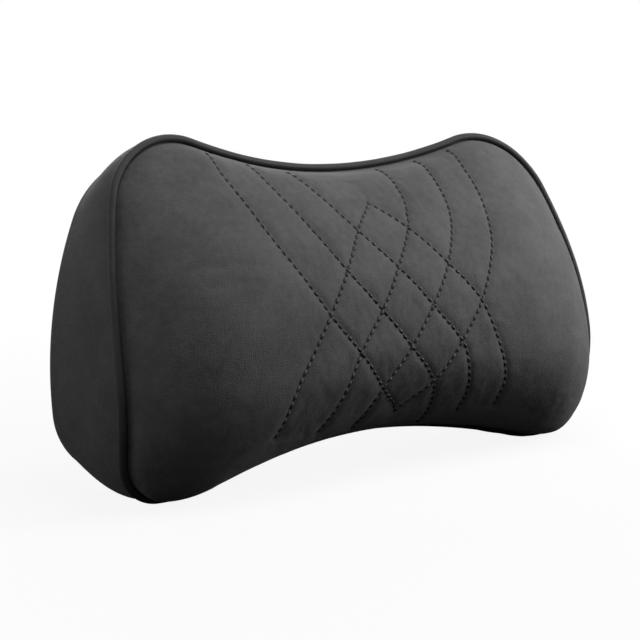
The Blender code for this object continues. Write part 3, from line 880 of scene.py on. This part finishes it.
def build_front_panel():
    """The quilted leather front, stitched through its padding."""
    columns, rows, rings = (240, 140, 20)
    plane, faces, rim = panel_grid(columns, rows, rings)
    surface = front_points(plane)
    flat_lines = [line[edge_distance(line) > DOME_INSET + 0.9] for line in stitch_lines()]
    lines = [front_points(line) for line in flat_lines]
    normals, faces = vertex_normals(surface, faces)
    near, along, pitch = line_offsets(surface, lines, 14.0)
    stuffing = np.zeros(len(surface))
    stuffing = STUFFING_SHARE * stuffed_leather(columns, rows, rings, lines)
    stuffing = np.clip(stuffing, -STUFFING_LOW, STUFFING_HIGH)
    edge = np.maximum(edge_distance(plane) - DOME_INSET, 0.0)
    phase = along / pitch
    bridge = np.exp(-(((phase - np.floor(phase)) - 0.5) / 0.16) ** 2)
    channel = CHANNEL_DEPTH * np.exp(-(near / CHANNEL_WIDTH) ** 2) * (1 - 0.5 * bridge)
    gathered = 1 + SEAM_GATHER * np.exp(-edge / SEAM_REACH)
    puff = PUFF_DEPTH * gathered * np.exp(-(near / PUFF_WIDTH) ** 2)
    fade = 1 - np.exp(-edge / 3.0)
    uneven = 0.22 * soft_noise(surface, 34.0, 3) * fade
    surface = surface + normals * ((stuffing - channel - puff + uneven) * fade)[:, None]
    obj = mesh_piece("quilted_front", place(surface), faces, FRONT_LEATHER)
    return obj, flat_lines, lines


def normal_at(lines):
    """Upward directions of the domed front along its sewn lines, by small steps."""
    ups = []
    for flat in lines:
        step = 0.4
        dx = front_points(flat + [step, 0]) - front_points(flat - [step, 0])
        dz = front_points(flat + [0, step]) - front_points(flat - [0, step])
        n = np.cross(dx, dz)
        n /= np.linalg.norm(n, axis=1)[:, None]
        n[n[:, 1] > 0] *= -1
        ups.append(n)
    return ups


def resting_on(obj, lines, ups):
    """Lines dropped along their normals onto the face of a finished piece."""
    surface = BVHTree.FromPolygons([v.co for v in obj.data.vertices],
                                   [tuple(f.vertices) for f in obj.data.polygons])
    rested = []
    for line, up in zip(lines, ups):
        found = []
        for point, away in zip(place(line), up):
            start = Vector(point) + Vector(away) * 4 * MM
            hit = surface.ray_cast(start, -Vector(away), 8 * MM)[0]
            found.append(tuple(hit) if hit else tuple(point))
        rested.append(np.array(found))
    return rested


front, flat_lines, front_lines = build_front_panel()
ups = normal_at(flat_lines)
front_stitches = sew("quilting_stitches", resting_on(front, front_lines, ups), ups, STITCH_PITCH * MM,
                     STITCH_LENGTH * MM, THREAD_RADIUS * MM, THREAD_RISE * MM, THREAD_AND_HOLE_SHADE)
thicken = front.modifiers.new("thickness", "SOLIDIFY")
thicken.thickness = PANEL_THICK * MM
thicken.offset = -1.0


# Piping
def tube(centre, side, forward, radii, sides):
    """Points and quads of a closed ring tube."""
    turns = np.linspace(0, 2 * math.pi, sides, endpoint=False)
    points = (centre[:, None] + radii[:, None, None] * (np.cos(turns)[None, :, None] * side[:, None]
              + np.sin(turns)[None, :, None] * forward[:, None]))
    count = len(centre)
    faces = [(i * sides + k, i * sides + (k + 1) % sides,
              ((i + 1) % count) * sides + (k + 1) % sides, ((i + 1) % count) * sides + k)
             for i in range(count) for k in range(sides)]
    return points.reshape(-1, 3), faces


def seam_points(inset, back):
    """The seam loop moved inward and back, in the standing frame."""
    loop = SEAM - SEAM_OUT * inset
    return lean(np.c_[loop[:, 0], seam_y(loop[:, 0], loop[:, 1]) + back, loop[:, 1]])


def build_piping():
    """The leather-covered cord sewn into the front seam."""
    centre = seam_points(0.0, 0.0)
    side = lean(np.c_[SEAM_OUT[:, 0], np.zeros(len(SEAM)), SEAM_OUT[:, 1]])
    forward = lean(np.tile([0.0, -1.0, 0.0], (len(SEAM), 1)))
    radii = PIPING_RADIUS * (1 + 0.02 * soft_noise(centre, 22.0, 5))
    points, faces = tube(centre, side, forward, radii, 20)
    points[:, 2] = np.maximum(points[:, 2], FLOOR)
    obj = mesh_piece("piping_cover", place(points), faces, PIPING_LEATHER)
    face_outward(obj)
    return obj


piping = build_piping()


# Side band
def ring_faces(rows, count):
    """Quads between closed rings of equal count, facing outward from front to back."""
    return [(r * count + k, r * count + (k + 1) % count, (r + 1) * count + (k + 1) % count,
             (r + 1) * count + k) for r in range(rows - 1) for k in range(count)]


def build_band():
    """The plain side band, from under the piping round the back edge."""
    front_loop = seam_points(0.5, PIPING_RADIUS * 0.55)
    out = lean(np.c_[SEAM_OUT[:, 0], np.zeros(len(SEAM)), SEAM_OUT[:, 1]])
    run = np.interp(BACK[:, 1], (-FOOT_BOTTOM, 0.0, LOBE_TOP),
                    (BAND_RUN_FOOT, BAND_RUN_MIDDLE, BAND_RUN_TOP))
    fullness = BAND_BULGE + BAND_BULGE_FOOT * np.maximum(-SEAM_OUT[:, 1], 0.0) ** 2
    loops = []
    for w in np.linspace(0, 1, 42) ** 1.15:
        g = w ** run
        swell = fullness * math.sin(math.pi * w ** 0.8)
        loop = np.empty((len(SEAM), 3))
        loop[:, 0] = (front_loop[:, 0] + out[:, 0] * swell) * (1 - g) + (BACK[:, 0] + out[:, 0] * swell) * g
        loop[:, 2] = (front_loop[:, 2] + out[:, 2] * swell) * (1 - g) + (BACK[:, 1] + out[:, 2] * swell) * g
        loop[:, 1] = front_loop[:, 1] * (1 - w) + (BACK_Y - BACK_FILLET) * w
        loops.append(loop)
    for degrees in np.linspace(8, 90, 11):
        a = math.radians(degrees)
        edge = BACK - BACK_OUT * BACK_FILLET * (1 - math.cos(a))
        loops.append(np.c_[edge[:, 0], np.full(len(edge), BACK_Y - BACK_FILLET + BACK_FILLET * math.sin(a)),
                           edge[:, 1]])
    dip = BACK - BACK_OUT * (BACK_FILLET + 0.5)
    loops.append(np.c_[dip[:, 0], np.full(len(dip), BACK_Y - 0.5), dip[:, 1]])
    dip = BACK - BACK_OUT * (BACK_FILLET + 0.8)
    loops.append(np.c_[dip[:, 0], np.full(len(dip), BACK_Y - 1.8), dip[:, 1]])
    points = np.stack(loops)
    points[..., 2] = np.maximum(points[..., 2], FLOOR)
    rows, count = points.shape[:2]
    faces = ring_faces(rows, count)
    return mesh_piece("side_band_cover", place(points.reshape(-1, 3)), faces, BAND_LEATHER)


band = build_band()


def across_loop(loop, start):
    """Triangles that fill a loop, stepping across between its upper and lower sides."""
    x, z = loop[:, 0], loop[:, 2]
    count = len(x)
    left, right = int(x.argmin()), int(x.argmax())
    one = [(left + k) % count for k in range((right - left) % count + 1)]
    other = [(left - k) % count for k in range((left - right) % count + 1)]
    i, j = 0, 0
    faces = []
    while i < len(one) - 1 or j < len(other) - 1:
        first_side = j == len(other) - 1 or (i < len(one) - 1 and x[one[i + 1]] <= x[other[j + 1]])
        if first_side:
            corners = (one[i], one[i + 1], other[j])
            i += 1
        else:
            corners = (one[i], other[j + 1], other[j])
            j += 1
        a, b, c = corners
        if len(set(corners)) == 3:
            turn = (z[b] - z[a]) * (x[c] - x[a]) - (x[b] - x[a]) * (z[c] - z[a])
            faces.append(tuple(start + k for k in (corners if turn > 0 else corners[::-1])))
    return faces


def build_back():
    """The flat back, sewn to the band."""
    loops = []
    for e in (0.0, 0.3, 0.8, 1.6, 3.0, 5.0, 8.0):
        loop = BACK - BACK_OUT * (BACK_FILLET + 0.7 + e)
        y = BACK_Y - 1.6 * math.exp(-e / 1.0)
        loops.append(np.c_[loop[:, 0], np.full(len(loop), y), loop[:, 1]])
    count = len(SEAM)
    points = np.vstack(loops)
    faces = ring_faces(len(loops), count)
    faces += across_loop(loops[-1], (len(loops) - 1) * count)
    return mesh_piece("back_cover", place(points), faces, BACK_LEATHER)


back = build_back()


def build_strap():
    """The ribbed elastic strap."""
    across = np.linspace(-1, 1, 61)
    lengths = np.linspace(-STRAP_HALF_LENGTH, STRAP_HALF_LENGTH, 120)
    ribs = 0.14 * np.cos(across * math.pi * 11)
    top = []
    for x in lengths:
        y = BACK_Y + 0.3 + STRAP_THICK + ribs
        top.append(np.c_[np.full(61, x), y, STRAP_Z + across * STRAP_WIDTH / 2])
    top = np.array(top)
    under = top.copy()
    under[..., 1] = BACK_Y + 0.1
    points = np.vstack([top.reshape(-1, 3), under.reshape(-1, 3)])
    n, m = len(lengths), 61
    offset = n * m
    faces = []
    for i in range(n - 1):
        for k in range(m - 1):
            faces.append((i * m + k, i * m + k + 1, (i + 1) * m + k + 1, (i + 1) * m + k))
            faces.append((offset + i * m + k, offset + (i + 1) * m + k, offset + (i + 1) * m + k + 1,
                          offset + i * m + k + 1))
        for k in (0, m - 1):
            faces.append((i * m + k, (i + 1) * m + k, offset + (i + 1) * m + k, offset + i * m + k))
    for i in (0, n - 1):
        faces += [(i * m + k, i * m + k + 1, offset + i * m + k + 1, offset + i * m + k)
                  for k in range(m - 1)]
    obj = mesh_piece("strap_cover", place(points), faces, WEBBING)
    face_outward(obj)
    return obj


strap = build_strap()


def strap_boxes():
    """Square lines of sewing that hold the strap's ends to the back."""
    lines = []
    for side in (-1, 1):
        near, far = side * (STRAP_HALF_LENGTH - 16.0), side * (STRAP_HALF_LENGTH - 4.0)
        low, high = STRAP_Z - 11.0, STRAP_Z + 11.0
        corners = [(near, low), (far, low), (far, high), (near, high), (near, low), (far, high)]
        for (x0, z0), (x1, z1) in zip(corners[:-1], corners[1:]):
            share = np.linspace(0, 1, 12)[:, None]
            flat = np.array([[x0, z0]]) * (1 - share) + np.array([[x1, z1]]) * share
            lines.append(np.c_[flat[:, 0], np.full(12, BACK_Y + 0.3 + STRAP_THICK), flat[:, 1]])
    return lines


box_lines = strap_boxes()
box_ups = [np.tile([0.0, 1.0, 0.0], (len(line), 1)) for line in box_lines]
strap_stitches = sew("strap_stitches", [place(line) for line in box_lines], box_ups, 3.0 * MM, 2.2 * MM,
                     0.35 * MM, 0.1 * MM, THREAD_AND_HOLE_SHADE)

# Ride, replace and slots
for piece, node, slot_name in ((front, "front_panel", "front_leather"),
                               (piping, "front_piping", "piping_leather"),
                               (band, "side_band", "band_leather"),
                               (back, "back_panel", "back_leather"),
                               (strap, "headrest_strap", "strap_webbing")):
    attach(piece, "root")
    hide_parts(node)
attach(front_stitches, "root")
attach(strap_stitches, "root")
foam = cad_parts["foam_core"]
foam.data.materials.clear()
foam.data.materials.append(FOAM)

# Camera, floor and light
camera_data = bpy.data.cameras.new("camera")
camera_data.sensor_width = 36.0
camera_data.lens = 86.91
camera = bpy.data.objects.new("camera", camera_data)
camera.location = (-0.50653, -0.59197, 0.17169)
camera.rotation_euler = (math.radians(82.84), 0.0, math.radians(-39.14))
bpy.context.scene.collection.objects.link(camera)
bpy.context.scene.camera = camera


def seen_directly(tree, share_in_gloss):
    """One where the background is seen: by the camera, through glass, or in a gloss by a share."""
    path = tree.nodes.new("ShaderNodeLightPath")
    gloss = math_node(tree, "MULTIPLY", path.outputs["Is Glossy Ray"], share_in_gloss)
    mirrored = math_node(tree, "MAXIMUM", gloss, path.outputs["Is Transmission Ray"])
    return math_node(tree, "MAXIMUM", path.outputs["Is Camera Ray"], mirrored)


def floor_material():
    """Pale floor that shows white to the camera and keeps its shade close to the pillow."""
    material = bpy.data.materials.new("pale_floor")
    material.use_nodes = True
    tree = material.node_tree
    tree.nodes.clear()
    out = tree.nodes.new("ShaderNodeOutputMaterial")
    diffuse = tree.nodes.new("ShaderNodeBsdfDiffuse")
    diffuse.inputs["Color"].default_value = (0.07, 0.07, 0.07, 1.0)
    glow = tree.nodes.new("ShaderNodeEmission")
    glow.inputs["Color"].default_value = (1.0, 1.0, 1.0, 1.0)
    coords = tree.nodes.new("ShaderNodeTexCoord")
    span = tree.nodes.new("ShaderNodeVectorMath")
    span.operation = "LENGTH"
    tree.links.new(coords.outputs["Object"], span.inputs[0])
    unshaded = range_node(tree, span.outputs["Value"], 0.25, 0.9)
    white = range_node(tree, span.outputs["Value"], 0.15, 1.1, 0.9, 1.0)
    strength = math_node(tree, "MULTIPLY", seen_directly(tree, unshaded), white)
    tree.links.new(strength, glow.inputs["Strength"])
    both = tree.nodes.new("ShaderNodeAddShader")
    tree.links.new(diffuse.outputs[0], both.inputs[0])
    tree.links.new(glow.outputs[0], both.inputs[1])
    tree.links.new(both.outputs[0], out.inputs["Surface"])
    return material


floor = mesh_piece("floor", np.array([(-3, -3, 0), (3, -3, 0), (3, 3, 0), (-3, 3, 0)], float),
                   [(0, 1, 2, 3)], floor_material())

world = bpy.data.worlds.new("studio")
world.use_nodes = True
bpy.context.scene.world = world
sky = world.node_tree
background = sky.nodes["Background"]
seen = seen_directly(sky, 1.0)
coords = sky.nodes.new("ShaderNodeTexCoord")
split = sky.nodes.new("ShaderNodeSeparateXYZ")
sky.links.new(coords.outputs["Generated"], split.inputs[0])
gradient = range_node(sky, split.outputs["Z"], -0.1, 1.0, 0.015, 0.12)
level = sky.nodes.new("ShaderNodeMix")
level.data_type = "FLOAT"
sky.links.new(seen, level.inputs["Factor"])
sky.links.new(gradient, level.inputs["A"])
level.inputs["B"].default_value = 1.0
sky.links.new(level.outputs["Result"], background.inputs["Strength"])
background.inputs["Color"].default_value = (1.0, 1.0, 1.0, 1.0)


def soft_box(name, place_at, aim, size, power):
    """A square studio light aimed at a point, not itself in the picture."""
    data = bpy.data.lights.new(name, "AREA")
    data.size = size
    data.energy = power
    lamp = bpy.data.objects.new(name, data)
    lamp.location = place_at
    direction = Vector(aim) - Vector(place_at)
    lamp.rotation_euler = direction.to_track_quat("-Z", "Y").to_euler()
    lamp.visible_camera = False
    bpy.context.scene.collection.objects.link(lamp)


soft_box("right_front", (0.418, -0.241, 0.274), (0.0, 0.0, 0.08), 0.22, 2.05)
soft_box("overhead", (-0.087, -0.103, 0.581), (0.0, 0.0, 0.08), 0.25, 1.1)
soft_box("right_high", (0.346, -0.2, 0.772), (0.0, 0.0, 0.08), 0.35, 2.1)
soft_box("left_low", (-0.761, 0.134, 0.286), (0.0, 0.0, 0.08), 0.35, 0.85)
soft_box("left_front", (-0.669, -0.386, 0.286), (0.0, 0.0, 0.08), 0.35, 0.3)
soft_box("behind", (0.45, 1.0, 0.6), (0.0, 0.04, 0.08), 0.5, 5.0)
bpy.context.scene.view_settings.view_transform = "Standard"
